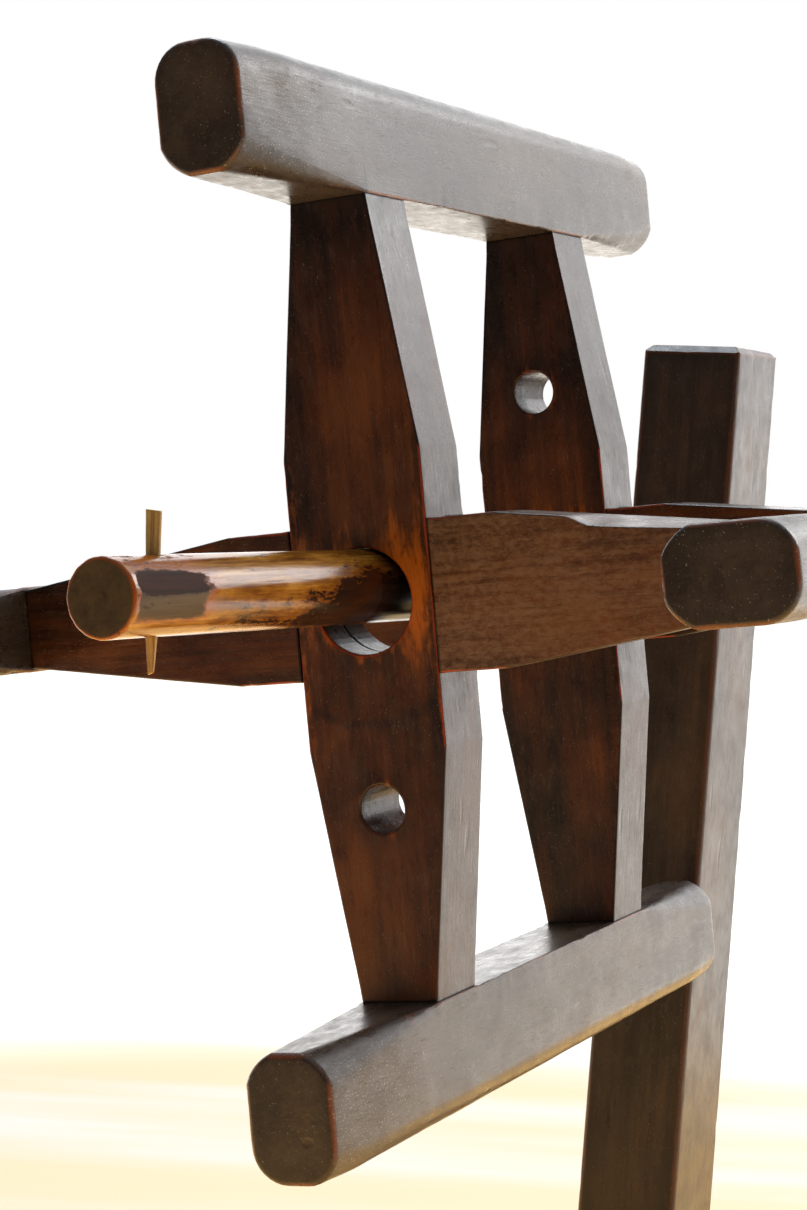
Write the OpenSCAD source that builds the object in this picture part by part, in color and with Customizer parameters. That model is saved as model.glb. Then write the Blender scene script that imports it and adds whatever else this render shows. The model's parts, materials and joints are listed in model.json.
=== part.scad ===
// Hand reel for winding yarn into skeins, on a raked post stand.
// Two crosses of tapered arms carry four bars. The reel hangs on a fixed wooden axle,
// and a bamboo pin through the axle's free end keeps it from coming off.
// +Z is up, the reel turns about an axis along Y, and the axle's free end points to -Y.
// The origin is on the floor under the middle of the bounding box.

/* [Reel] */
// Length of one taut turn of yarn round the four bars
skein_length = 1270; // [1150:10:1400]
// Front face of the front cross to front face of the rear cross
cross_spacing = 202; // [170:1:230]
// Turn of the reel at rest, counter-clockwise seen from the free end of the axle
rest_angle = 8.8; // [0:0.1:45]

/* [Arms] */
// Width of an arm at the hub
arm_hub_w = 64.5; // [60:0.5:80]
// Width of an arm where it meets a bar
arm_tip_w = 35.4; // [30:0.1:38]
// Thickness of the arms
arm_t = 38; // [30:0.5:44]
// Length of the stretch at the hub that keeps its full width
arm_hub_len = 124; // [90:1:150]
// Radius of the bore at the hub
bore_r = 22.2; // [22.2:0.1:24]
// Radius of the holes that take a handle peg
handle_hole_r = 10.2; // [6:0.1:12]
// Handle hole of the front cross, from the hub's centre
front_hole_at = 87.2; // [80:0.1:110]
// Handle hole of the rear cross, from the hub's centre
rear_hole_at = 92.1; // [80:0.1:110]

/* [Bars] */
// Width of a bar along the reel's rim
bar_w = 38.2; // [36:0.1:50]
// Depth of a bar towards the hub
bar_d = 52; // [40:0.5:60]
// Length of bar beyond each cross
bar_overhang = 100.8; // [60:0.1:110]
// Radius of the two outer edges of a bar
bar_edge_r = 12; // [6:0.5:16]
// Leg of the growing chamfer on the inner edges, at a bar's end
bar_end_chamfer = 9; // [4:0.5:12]

/* [Joinery] */
// Width of the tenons on the arms, along the rim
tenon_w = 18; // [12:0.5:24]
// Thickness of the tenons on the arms, along the bars
tenon_t = 20; // [12:0.5:26]
// Depth of the wedges in the ends of the tenons
tenon_wedge_depth = 32; // [16:1:38]
// Thickness of a wedge at its head
wedge_head = 3; // [2:0.1:4]
// Thickness of a wedge at its thin end
wedge_tip = 0.5; // [0.3:0.1:1]

/* [Axle] */
// Radius of the axle at its free end
axle_tip_r = 14.9; // [12:0.1:14.9]
// Radius of the axle at its tail, behind the post
axle_tail_r = 17; // [15:0.1:17]
// Length of axle in front of the front cross
axle_reach = 192.2; // [120:0.1:220]
// Length of axle behind the post
axle_tail = 8; // [4:0.5:20]
// Offset of the axle's centre from the reel's centre at the front cross, sideways
axle_x = -1.4; // [-1.4:0.1:0]
// Offset of the axle's centre from the reel's centre at the front cross, upwards
axle_z = 6.3; // [4:0.1:6.3]
// Turn of the axle in plan, its free end going to -X
axle_yaw = 1.43; // [0:0.01:1.5]
// Rise of the axle towards its free end, in degrees
axle_rise = 1.25; // [0:0.01:1.5]
// Radial clearance of the axle in the post
axle_fit = 0.05; // [0.02:0.01:0.1]
// Chamfer round the axle's free end
axle_chamfer = 1.2; // [0.5:0.1:3]
// Depth of the wedge in the axle's tail
axle_wedge_depth = 40; // [20:1:50]

/* [Retaining pin] */
// Middle of the pin, from the axle's free end
pin_from_tip = 33.3; // [15:0.1:60]
// Width of the pin at its top
pin_top_w = 6.3; // [5:0.1:9]
// Width of the pin where it leaves the axle's underside
pin_waist_w = 4.5; // [3.5:0.1:5]
// Width of the pin at its foot
pin_foot_w = 2.2; // [1.5:0.1:3.5]
// Thickness of the pin
pin_t = 2.4; // [2:0.1:4]
// Length of pin above the axle
pin_above = 16.4; // [8:0.1:25]
// Length of pin below the axle
pin_below = 13.8; // [6:0.1:20]
// Tilt of the pin towards -X at its top, in degrees
pin_lean = 2.2; // [0:0.1:5]
// Clearance on each side of the pin in its slot
pin_fit = 0.1; // [0.05:0.01:0.3]

/* [Post] */
// Width of the post, side to side
post_w = 56.1; // [44:0.1:70]
// Depth of the post, front to back
post_d = 67.5; // [50:0.1:80]
// Front face of the front cross to the post's front face, at the reel's centre
post_gap = 371; // [371:1:400]
// Offset of the post's middle from the reel's centre, sideways
post_x = 3.5; // [0:0.5:8]
// Top of the post above the reel's centre
post_rise = 122.8; // [60:0.1:150]
// Slope of the post backwards, away from the reel, in degrees
post_rake = 5.2; // [0:0.1:8]
// Slope of the post sideways, its top going to -X, in degrees
post_lean = 0.6; // [0:0.1:2]
// Slope of the post's top in degrees: a positive one falls to the back
post_top_slope = -3.4; // [-6:0.1:8]
// Chamfer on the post's upright edges
post_chamfer = 2; // [0.5:0.1:5]
// Chamfer round the post's top
post_top_chamfer = 4.3; // [0.5:0.1:6]

/* [Base] */
// Reel's centre above the floor
hub_height = 495; // [400:1:700]
// Offset of the base's middle from the reel's centre, sideways
base_x = 8; // [0:0.5:12]
// Width of the beam
beam_w = 84; // [70:1:110]
// Underside of the beam above the floor
beam_bottom = 14; // [8:1:20]
// Top of the beam above the floor
beam_top = 54; // [50:1:70]
// Length of beam in front of the front cross
beam_front = 60; // [50:1:120]
// Length of beam behind the front cross
beam_back = 490; // [485:1:560]
// Length of each foot, side to side
foot_len = 330; // [260:5:420]
// Width of each foot, front to back
foot_w = 60; // [50:1:70]
// Height of each foot
foot_h = 42; // [38:1:46]
// Middle of the front foot, from the front cross
front_foot_y = -22; // [-25:1:60]
// Middle of the rear foot, from the front cross
rear_foot_y = 445; // [440:1:450]
// Chamfer on the edges of the base
base_chamfer = 2.5; // [0.5:0.1:5]
// Radius of the pegs that hold the feet to the beam
peg_r = 5; // [3:0.5:8]

/* [Hidden] */
$fn = 96;

// A taut turn of yarn follows the outer edges of the four bars. Drawn in by the edge
// radius it is an octagon, so its length gives the reel's outer radius.
bar_flat = bar_w - 2 * bar_edge_r;
reel_r = bar_w / 2 + (skein_length - 2 * PI * bar_edge_r - 4 * bar_flat) / (4 * sqrt(2));
arm_len = reel_r - bar_d;
bar_len = cross_spacing + arm_t + 2 * bar_overhang;

// Distances along the axle, from where it passes the front cross
axle_back = post_gap + post_d / cos(post_rake) + axle_tail;
axle_taper = (axle_tail_r - axle_tip_r) / (axle_back + axle_reach);
pin_y = pin_from_tip - axle_reach;

// Heights on the pin, from the axle's centre, and its width at the axle's upper side
pin_top = axle_tip_r + pin_above;
pin_foot = -axle_tip_r - pin_below;
pin_slot_w = pin_top_w - (pin_top_w - pin_waist_w) * pin_above / (pin_top + axle_tip_r);

// The bounding box runs from the axle's tip to the back end of the beam
axle_tilt = acos(cos(axle_yaw) * cos(axle_rise));
front_reach = axle_reach * cos(axle_tilt) + (axle_tip_r - axle_chamfer) * sin(axle_tilt);
hub_y = (front_reach - beam_back) / 2;

// Post tenon, in the post's own frame
post_tenon_w = 28;
post_tenon_d = 44;
post_wedge_head = 4;
post_wedge_len = 34;
post_length = 1.2 * hub_height;

// The beam and the feet are halved into each other
lap_level = (beam_bottom + foot_h) / 2;
peg_spacing = 44;
peg_end = 8;
peg_proud = 1;
foot_shoulder = 40;
foot_toe_h = 24;

// Larger than anything it cuts
big = 400;
// Length that a cutting shape runs past the face that it cuts
past = 1;

dark_wood = [0.20, 0.10, 0.07];
brown_wood = [0.28, 0.14, 0.08];
stand_wood = [0.17, 0.10, 0.08];
golden_wood = [0.72, 0.46, 0.20];
wedge_wood = [0.36, 0.20, 0.11];
bamboo = [0.80, 0.66, 0.42];

// ---- frames ----

// Origin at the middle of the front cross's front face
module at_hub() {
    translate([0, hub_y, hub_height]) children();
}

// The reel's own frame: Z along the upright arms, X along the cross arms
module on_reel() {
    at_hub() rotate([0, -rest_angle, 0]) children();
}

// The axle's own frame: Y along the axle
module on_axle() {
    at_hub() translate([axle_x, 0, axle_z]) rotate([-axle_rise, 0, -axle_yaw]) children();
}

// The post's own frame: Z up the post, origin on its front face at the reel's centre
module on_post() {
    at_hub() translate([post_x, post_gap, 0]) rotate([-post_rake, -post_lean, 0]) children();
}

// The base's frame: on the floor under the front cross, in the middle of the beam
module on_base() {
    translate([base_x, hub_y, 0]) children();
}

// ---- shared shapes ----

// Rectangle with its corners cut off, centred
module cut_rectangle(w, h, c) {
    x = w / 2;
    y = h / 2;
    polygon([[x - c, -y], [x, c - y], [x, y - c], [x - c, y],
             [c - x, y], [-x, y - c], [-x, c - y], [c - x, -y]]);
}

// Box with all twelve edges chamfered, centred
module chamfered_box(size, c) {
    intersection() {
        linear_extrude(size.z, center = true) cut_rectangle(size.x, size.y, c);
        rotate([90, 0, 0]) linear_extrude(size.y, center = true) cut_rectangle(size.x, size.z, c);
        rotate([90, 0, 90]) linear_extrude(size.x, center = true) cut_rectangle(size.y, size.z, c);
    }
}

// Wedge that narrows downwards from its head at z = 0; its faces look along +Y and -Y
module wedge(w, head, tip, depth) {
    rotate([90, 0, 90])
        linear_extrude(w, center = true)
            polygon([[-head / 2, 0], [head / 2, 0], [tip / 2, -depth], [-tip / 2, -depth]]);
}

// Cylinder along Y
module rod_y(r, from, to) {
    translate([0, to, 0]) rotate([90, 0, 0]) cylinder(h = to - from, r = r);
}

// Everything above a level
module above(level) {
    translate([-big, -big, level]) cube([2 * big, 4 * big, 4 * big]);
}

// ---- reel ----

// Half of an arm's outline, from the hub's centre to the tip
function arm_side(side) = [[side * arm_hub_w / 2, 0],
                           [side * arm_hub_w / 2, arm_hub_len / 2],
                           [side * arm_tip_w / 2, arm_len]];

module arm_outline() {
    for (end = [0, 180])
        rotate(end) polygon(concat(arm_side(1), [for (i = [2:-1:0]) arm_side(-1)[i]]));
}

// Wedges in the two tenon ends of an arm
module arm_wedges() {
    for (end = [0, 180])
        rotate([0, end, 0])
            translate([0, arm_t / 2, reel_r])
                wedge(tenon_w, wedge_head, wedge_tip, tenon_wedge_depth);
}

// Arm that stands upright, its front face at y = 0; the tenons reach the reel's rim
module arm() {
    difference() {
        union() {
            translate([0, arm_t, 0]) rotate([90, 0, 0]) linear_extrude(arm_t) arm_outline();
            translate([-tenon_w / 2, (arm_t - tenon_t) / 2, -reel_r])
                cube([tenon_w, tenon_t, 2 * reel_r]);
        }
        arm_wedges();
        rod_y(bore_r, -past, arm_t + past);
    }
}

// Halved hub: the notch takes the crossing arm, from depth y_from to y_to
module hub_notch(y_from, y_to) {
    translate([-big / 2, y_from, -arm_hub_w / 2]) cube([big, y_to - y_from, arm_hub_w]);
}

// Upright arm, whole at the front of the hub, with a handle hole at the given height
module upright_arm(hole_z) {
    difference() {
        arm();
        hub_notch(arm_t / 2, arm_t + past);
        translate([0, 0, hole_z]) rod_y(handle_hole_r, -past, arm_t + past);
    }
}

// Cross arm, whole at the back of the hub
module cross_arm() {
    rotate([0, 90, 0])
        difference() {
            arm();
            hub_notch(-past, arm_t / 2);
        }
}

// Outline of a bar: the inner face on z = 0, the two outer edges rounded
module bar_outline() {
    edge_x = bar_w / 2 - bar_edge_r;
    for (side = [-1, 1])
        translate([side * edge_x, bar_d - bar_edge_r]) circle(bar_edge_r);
    translate([-edge_x, 0]) square([2 * edge_x, bar_d]);
    translate([-bar_w / 2, 0]) square([bar_w, bar_d - bar_edge_r]);
}

// Cuts an inner edge away gradually, from the cross out to the bar's end
module edge_sweep(side) {
    slope = atan(bar_end_chamfer / sqrt(2) / bar_overhang);
    translate([side * bar_w / 2, bar_overhang, 0])
        rotate([0, -side * 45, 0])
            rotate([-slope, 0, 0])
                translate([-big / 2, -big / 2, -big]) cube([big, big, big]);
}

// The top bar, in the reel's frame
module bar() {
    difference() {
        translate([0, -bar_overhang, arm_len])
            difference() {
                translate([0, bar_len, 0])
                    rotate([90, 0, 0]) linear_extrude(bar_len) bar_outline();
                for (side = [-1, 1]) {
                    edge_sweep(side);
                    translate([0, bar_len, 0]) mirror([0, 1, 0]) edge_sweep(side);
                }
            }
        for (y = [0, cross_spacing])
            translate([-tenon_w / 2, y + (arm_t - tenon_t) / 2, arm_len - past])
                cube([tenon_w, tenon_t, bar_d + 2 * past]);
    }
}

// The two wedges that show in the top bar's outer face, in the reel's frame
module bar_wedges() {
    for (y = [0, cross_spacing])
        translate([0, y + arm_t / 2, reel_r])
            wedge(tenon_w, wedge_head, wedge_tip, tenon_wedge_depth);
}

// A quarter turn clockwise leads from the top bar to the right bar, and so on
module quarter_turns(n) {
    on_reel() rotate([0, 90 * n, 0]) children();
}

module front_upright_arm() { color(brown_wood) on_reel() upright_arm(-front_hole_at); }
module front_cross_arm() { color(brown_wood) on_reel() cross_arm(); }
module rear_upright_arm() {
    color(brown_wood) on_reel() translate([0, cross_spacing, 0]) upright_arm(rear_hole_at);
}
module rear_cross_arm() {
    color(brown_wood) on_reel() translate([0, cross_spacing, 0]) cross_arm();
}
module top_bar() { color(dark_wood) quarter_turns(0) bar(); }
module right_bar() { color(dark_wood) quarter_turns(1) bar(); }
module bottom_bar() { color(dark_wood) quarter_turns(2) bar(); }
module left_bar() { color(dark_wood) quarter_turns(3) bar(); }
module top_bar_wedges() { color(wedge_wood) quarter_turns(0) bar_wedges(); }
module right_bar_wedges() { color(wedge_wood) quarter_turns(1) bar_wedges(); }
module bottom_bar_wedges() { color(wedge_wood) quarter_turns(2) bar_wedges(); }
module left_bar_wedges() { color(wedge_wood) quarter_turns(3) bar_wedges(); }

// ---- axle and pin ----

// The pin's frame: on the axle, leaning with the pin
module on_pin() {
    on_axle() translate([0, pin_y, 0]) rotate([0, -pin_lean, 0]) children();
}

// Radius of the tapered axle at a distance along it
function axle_r(y) = axle_tip_r + axle_taper * (y + axle_reach);

// Round solid along the axle, tapered with it and thicker than it by a clearance
module axle_rod(from, to, fit = 0) {
    translate([0, to, 0])
        rotate([90, 0, 0])
            cylinder(h = to - from, r1 = axle_r(to) + fit, r2 = axle_r(from) + fit);
}

// Wedge in the axle's tail; it lies level, so that it spreads the axle up and down
module axle_tail_wedge() {
    translate([0, axle_back, 0])
        rotate([-90, 0, 0])
            wedge(3 * axle_tail_r, wedge_head, wedge_tip, axle_wedge_depth);
}

module axle() {
    slot_w = pin_slot_w + 2 * pin_fit;
    slot_t = pin_t + 2 * pin_fit;
    rim_y = axle_chamfer - axle_reach;
    color(golden_wood)
        difference() {
            on_axle()
                difference() {
                    union() {
                        axle_rod(rim_y, axle_back);
                        translate([0, rim_y, 0])
                            rotate([90, 0, 0])
                                cylinder(h = axle_chamfer, r1 = axle_r(rim_y),
                                         r2 = axle_tip_r - axle_chamfer);
                    }
                    axle_tail_wedge();
                }
            on_pin()
                translate([-slot_w / 2, -slot_t / 2, -2 * axle_tip_r])
                    cube([slot_w, slot_t, 4 * axle_tip_r]);
        }
}

module axle_wedge() {
    color(wedge_wood)
        on_axle()
            intersection() {
                axle_tail_wedge();
                axle_rod(axle_back - 2 * axle_wedge_depth, axle_back);
            }
}

// Split bamboo with a slanting cut across its top, thinner below the axle
module retaining_pin() {
    slant = 0.5;
    color(bamboo)
        on_pin()
            rotate([90, 0, 0])
                linear_extrude(pin_t, center = true)
                    polygon([[-pin_top_w / 2, pin_top], [pin_top_w / 2, pin_top - slant],
                             [pin_waist_w / 2, -axle_tip_r], [pin_foot_w / 2, pin_foot],
                             [-pin_foot_w / 2, pin_foot], [-pin_waist_w / 2, -axle_tip_r]]);
}

// ---- stand ----

// The tenon under the post, and the two wedges beside it, longer than the beam is high
module post_tenon() {
    translate([-post_tenon_w / 2, (post_d - post_tenon_d) / 2, -post_length])
        cube([post_tenon_w, post_tenon_d, post_length]);
}

// Wedges in front of the tenon and behind it, driven in from below
module post_wedge_pair() {
    depth_at_foot = (hub_height - beam_bottom) / cos(post_rake);
    intersection() {
        on_post()
            translate([0, post_d / 2, -depth_at_foot - past])
                for (side = [-1, 1])
                    translate([0, side * post_tenon_d / 2, 0])
                        rotate([90, 0, 90])
                            linear_extrude(post_tenon_w, center = true)
                                polygon([[0, 0], [side * post_wedge_head, 0],
                                         [side * wedge_tip, post_wedge_len], [0, post_wedge_len]]);
        above(beam_bottom);
    }
}

// The post's shape in its own frame: its edges chamfered, its top cut on a slope
module post_bar() {
    half_w = post_w / 2;
    top_cut = post_top_chamfer;
    back_rise = post_rise - post_d * tan(post_top_slope);
    difference() {
        intersection() {
            translate([0, post_d / 2, post_rise - post_length])
                linear_extrude(post_length + post_d) cut_rectangle(post_w, post_d, post_chamfer);
            rotate([90, 0, 90])
                linear_extrude(post_w, center = true)
                    polygon([[0, post_rise - post_length], [post_d, post_rise - post_length],
                             [post_d, back_rise - top_cut], [post_d - top_cut, back_rise],
                             [top_cut, post_rise], [0, post_rise - top_cut]]);
        }
        for (side = [-1, 1])
            translate([side * (half_w - top_cut), 0, post_rise])
                rotate([-post_top_slope, side * 45, 0])
                    translate([-post_w, -post_d, 0]) cube([2 * post_w, 3 * post_d, post_d]);
    }
}

module post() {
    color(stand_wood)
        difference() {
            union() {
                intersection() {
                    on_post() post_bar();
                    above(beam_top);
                }
                intersection() {
                    on_post() post_tenon();
                    above(beam_bottom);
                }
            }
            on_axle() axle_rod(post_gap / 2, axle_back + past, axle_fit);
        }
}

module post_wedges() { color(wedge_wood) post_wedge_pair(); }

// Half-lap between the beam and a foot, whose middle is at y
module foot_lap(y, from, to) {
    translate([-beam_w / 2, y - foot_w / 2, from]) cube([beam_w, foot_w, to - from]);
}

// Pegs through the beam into one foot
module pegs_at(y) {
    for (side = [-1, 1])
        translate([side * peg_spacing / 2, y, peg_end])
            cylinder(h = beam_top + peg_proud - peg_end, r = peg_r);
}

module base_beam() {
    length = beam_front + beam_back;
    height = beam_top - beam_bottom;
    color(stand_wood)
        difference() {
            on_base()
                difference() {
                    translate([0, (beam_back - beam_front) / 2, beam_bottom + height / 2])
                        chamfered_box([beam_w, length, height], base_chamfer);
                    for (y = [front_foot_y, rear_foot_y]) {
                        foot_lap(y, 0, lap_level);
                        pegs_at(y);
                    }
                }
            on_post() post_tenon();
            post_wedge_pair();
        }
}

// Foot with a sloping shoulder at each end, halved for the beam; its middle is at y
module foot(y) {
    x = foot_len / 2;
    color(stand_wood)
        on_base() difference() {
            intersection() {
                translate([0, y, 0])
                    rotate([90, 0, 0])
                        linear_extrude(foot_w, center = true)
                            polygon([[-x, 0], [x, 0], [x, foot_toe_h], [x - foot_shoulder, foot_h],
                                     [foot_shoulder - x, foot_h], [-x, foot_toe_h]]);
                translate([0, y, 0])
                    rotate([90, 0, 90])
                        linear_extrude(foot_len, center = true)
                            translate([0, (foot_h - base_chamfer) / 2])
                                cut_rectangle(foot_w, foot_h + base_chamfer, base_chamfer);
            }
            foot_lap(y, lap_level, foot_h + past);
            pegs_at(y);
        }
}

module front_foot() { foot(front_foot_y); }
module rear_foot() { foot(rear_foot_y); }

module foot_pegs() {
    color(wedge_wood)
        on_base() {
            pegs_at(front_foot_y);
            pegs_at(rear_foot_y);
        }
}

base_beam();
front_foot();
rear_foot();
foot_pegs();
post();
post_wedges();
axle();
axle_wedge();
retaining_pin();
front_upright_arm();
front_cross_arm();
rear_upright_arm();
rear_cross_arm();
top_bar();
right_bar();
bottom_bar();
left_bar();
top_bar_wedges();
right_bar_wedges();
bottom_bar_wedges();
left_bar_wedges();
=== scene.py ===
"""Skein-winding reel on a raked post stand: the looks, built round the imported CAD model.

Lengths are in metres, in the frame of the CAD model: +Z up, the reel turns about Y, and the
axle's free end points to -Y. Each piece is made in a local frame of its own and then carried
to its place, so that the wood's grain can follow it.
"""

import json
import math

import bmesh
import bpy
import numpy as np
from mathutils import Matrix, Vector, noise


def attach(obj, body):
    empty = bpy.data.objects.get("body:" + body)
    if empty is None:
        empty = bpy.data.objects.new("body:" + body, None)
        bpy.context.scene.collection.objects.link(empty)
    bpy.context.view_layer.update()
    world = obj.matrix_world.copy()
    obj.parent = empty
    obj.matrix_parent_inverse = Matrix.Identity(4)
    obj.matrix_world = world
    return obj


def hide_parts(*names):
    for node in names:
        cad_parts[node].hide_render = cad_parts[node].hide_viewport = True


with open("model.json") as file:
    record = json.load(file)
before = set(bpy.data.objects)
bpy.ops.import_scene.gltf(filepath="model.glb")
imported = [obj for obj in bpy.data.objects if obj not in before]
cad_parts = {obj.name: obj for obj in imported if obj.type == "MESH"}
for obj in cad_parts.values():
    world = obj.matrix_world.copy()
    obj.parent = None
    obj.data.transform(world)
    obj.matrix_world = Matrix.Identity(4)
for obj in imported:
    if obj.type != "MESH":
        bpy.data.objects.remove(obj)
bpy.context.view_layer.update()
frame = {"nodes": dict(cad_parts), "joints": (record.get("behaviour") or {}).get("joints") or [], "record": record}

MM = 0.001

# ---- sizes, the same as the CAD part's ----

ARM_T = 38 * MM
ARM_HUB_W = 64.5 * MM
ARM_TIP_W = 35.4 * MM
ARM_HUB_LEN = 124 * MM
CROSS_SPACING = 202 * MM
BORE_R = 22.2 * MM
HOLE_R = 10.2 * MM
BAR_W = 38.2 * MM
BAR_D = 52 * MM
BAR_OVERHANG = 100.8 * MM
BAR_EDGE_R = 12 * MM
TENON_W = 18 * MM
TENON_T = 20 * MM
AXLE_TIP_R = 14.9 * MM
AXLE_TAIL_R = 17 * MM
AXLE_REACH = 192.2 * MM
AXLE_OFFSET = Vector((-1.4, 0, 6.3)) * MM
AXLE_YAW = math.radians(1.43)
AXLE_RISE = math.radians(1.25)
AXLE_TAIL = 8 * MM
PIN_FROM_TIP = 33.3 * MM
PIN_LEAN = math.radians(2.2)
POST_OFFSET = Vector((3.5, 371, 0)) * MM
POST_D = 67.5 * MM
POST_RAKE = math.radians(5.2)
POST_LEAN = math.radians(0.6)
POST_TOP = 116 * MM
POST_TENON_BELOW = -430 * MM
BASE_X = 8 * MM
PIN_FOOT, PIN_WAIST, PIN_TOP = -AXLE_TIP_R - 13.8 * MM, -AXLE_TIP_R, AXLE_TIP_R + 16.4 * MM
PIN_LEVELS = (PIN_FOOT, PIN_WAIST, PIN_TOP)
PIN_HALF_WIDTHS = (1.1, 2.25, 3.15)  # mm, at these levels
PIN_HALF_DEPTHS = (0.55, 1.1, 1.18)
PIN_SLOT_HALF_DEPTH = 1.3 * MM

# ---- frames ----

spin = next(j for j in frame["joints"] if j["name"] == "reel_spin")
handle_hole = next(m for m in frame["record"]["mounts"] if m["name"] == "handle_hole_front")
HUB = Vector(spin["pos_m"])
to_hole = Vector(handle_hole["pos_m"]) - HUB
FRONT_HOLE_AT = math.hypot(to_hole.x, to_hole.z)
REST_ANGLE = math.atan2(to_hole.x, -to_hole.z)
REAR_HOLE_AT = 92.1 * MM


def turned(angle, axis):
    return Matrix.Rotation(angle, 4, axis)


def shifted(offset):
    return Matrix.Translation(Vector(offset))


AT_HUB = shifted(HUB)
REEL = AT_HUB @ turned(-REST_ANGLE, "Y")
REAR_REEL = REEL @ shifted((0, CROSS_SPACING, 0))
ACROSS = turned(math.pi / 2, "Y")
AXLE = AT_HUB @ shifted(AXLE_OFFSET) @ turned(-AXLE_YAW, "Z") @ turned(-AXLE_RISE, "X")
PIN = AXLE @ shifted((0, PIN_FROM_TIP - AXLE_REACH, 0)) @ turned(-PIN_LEAN, "Y")
POST = AT_HUB @ shifted(POST_OFFSET) @ turned(-POST_LEAN, "Y") @ turned(-POST_RAKE, "X")
BASE = shifted((BASE_X, HUB.y, 0))
QUARTERS = [REEL @ turned(number * math.pi / 2, "Y") for number in range(4)]
BARS = ("top_bar", "right_bar", "bottom_bar", "left_bar")

reel_nodes = [REEL.inverted() @ v.co for v in frame["nodes"]["top_bar"].data.vertices]
REEL_R = max(v.z for v in reel_nodes)
ARM_LEN = REEL_R - BAR_D
BAR_LEN = CROSS_SPACING + ARM_T + 2 * BAR_OVERHANG
AXLE_BACK = POST_OFFSET.y + POST_D / math.cos(POST_RAKE) + AXLE_TAIL
AXLE_LEN = AXLE_REACH + AXLE_BACK


# ---- mesh helpers ----

SAME_POINT = 1e-6
SAME_PLANE = math.radians(0.5)
SHARP = math.radians(25)
WIDEST_BEVEL = 2 * MM
NICK_SIZE = 5 * MM
FAR = 1.0  # given to points that have no edge near them


def smoothstep(low, high, x):
    t = np.clip((x - low) / (high - low), 0, 1)
    return t * t * (3 - 2 * t)


def cad_copy(node, place):
    """A CAD node in a local frame, its triangles joined back into whole faces."""
    bm = bmesh.new()
    bm.from_mesh(frame["nodes"][node].data)
    bm.transform(place.inverted())
    bmesh.ops.remove_doubles(bm, verts=bm.verts, dist=SAME_POINT)
    bmesh.ops.dissolve_limit(bm, angle_limit=SAME_PLANE, verts=bm.verts, edges=bm.edges)
    return bm


def sharp_edges(bm):
    """The convex edges that a hand would feel."""
    return [e for e in bm.edges
            if len(e.link_faces) == 2 and e.calc_face_angle_signed(0) > SHARP]


def as_modified(bm, kind, **settings):
    """The bmesh with one modifier applied."""
    mesh = bpy.data.meshes.new("work")
    bm.to_mesh(mesh)
    bm.free()
    obj = bpy.data.objects.new("work", mesh)
    bpy.context.scene.collection.objects.link(obj)
    modifier = obj.modifiers.new("work", kind)
    for key, value in settings.items():
        setattr(modifier, key, value)
    dg = bpy.context.evaluated_depsgraph_get()
    made = bpy.data.meshes.new_from_object(obj.evaluated_get(dg))
    out = bmesh.new()
    out.from_mesh(made)
    bpy.data.objects.remove(obj)
    bpy.data.meshes.remove(mesh)
    bpy.data.meshes.remove(made)
    return out


def round_edges(bm, width_at):
    """Rounds the convex edges, each by the width that width_at gives for its middle."""
    weight = bm.edges.layers.float.new("bevel_weight_edge")
    for e in sharp_edges(bm):
        middle = (e.verts[0].co + e.verts[1].co) / 2
        e[weight] = min(width_at(middle) / WIDEST_BEVEL, 1)
    return as_modified(
        bm, "BEVEL", limit_method="WEIGHT", width=WIDEST_BEVEL, segments=3,
        use_clamp_overlap=False,
    )


def slice_up(bm, step):
    """Cuts every face along a lattice, so that it can bend."""
    low = Vector(map(min, *[v.co for v in bm.verts]))
    high = Vector(map(max, *[v.co for v in bm.verts]))
    for axis in range(3):
        normal = Vector([float(axis == i) for i in range(3)])
        count = max(int((high[axis] - low[axis]) / step[axis]), 1)
        for i in range(1, count):
            at = low[axis] + (high[axis] - low[axis]) * i / count
            near = [f for f in bm.faces
                    if min(v.co[axis] for v in f.verts) < at < max(v.co[axis] for v in f.verts)]
            geom = list({*near, *(e for f in near for e in f.edges),
                         *(v for f in near for v in f.verts)})
            bmesh.ops.bisect_plane(
                bm, geom=geom, dist=2 * SAME_POINT, plane_co=normal * at, plane_no=normal)


def points_of(bm):
    return np.array([v.co for v in bm.verts]).reshape(-1, 3)


def edge_distance(points, edges):
    """Distance from each point to the nearest of some edges."""
    nearest = np.full(len(points), FAR)
    for a, b in edges:
        along = b - a
        t = np.clip((points - a) @ along / max(along @ along, 1e-12), 0, 1)
        gap = np.linalg.norm(points - a - t[:, None] * along, axis=1)
        nearest = np.minimum(nearest, gap)
    return nearest


def waviness(points, size, seed):
    """Smooth noise from 0 to 1 whose features are about this size."""
    shift = Vector((seed * 1.37, seed * 2.11, seed * 0.73))
    values = [noise.noise(Vector(p) / size + shift) for p in points]
    return 0.5 + 0.5 * np.array(values)


def dress(bm, keep, edges, seed, wave=0.35 * MM, nick=0.5 * MM, wave_size=24 * MM):
    """Makes the surface hand-worked: shallow waves, and nicks along the edges. Only inwards."""
    bm.normal_update()
    points = points_of(bm)
    gap = edge_distance(points, edges)
    free = keep(points)
    depth = wave * waviness(points * np.array([1, 1, 0.45]), wave_size, seed)
    depth += 0.3 * wave * waviness(points, 0.3 * wave_size, seed + 9)
    bite = np.clip(waviness(points, NICK_SIZE, seed + 31) - 0.62, 0, 1) / 0.2
    depth += nick * bite * (1 - smoothstep(0.3 * MM, 2.2 * MM, gap))
    for v, d in zip(bm.verts, depth * free):
        v.co -= v.normal * float(d)
    return gap


# ---- from a local mesh to a piece of the object ----


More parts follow.
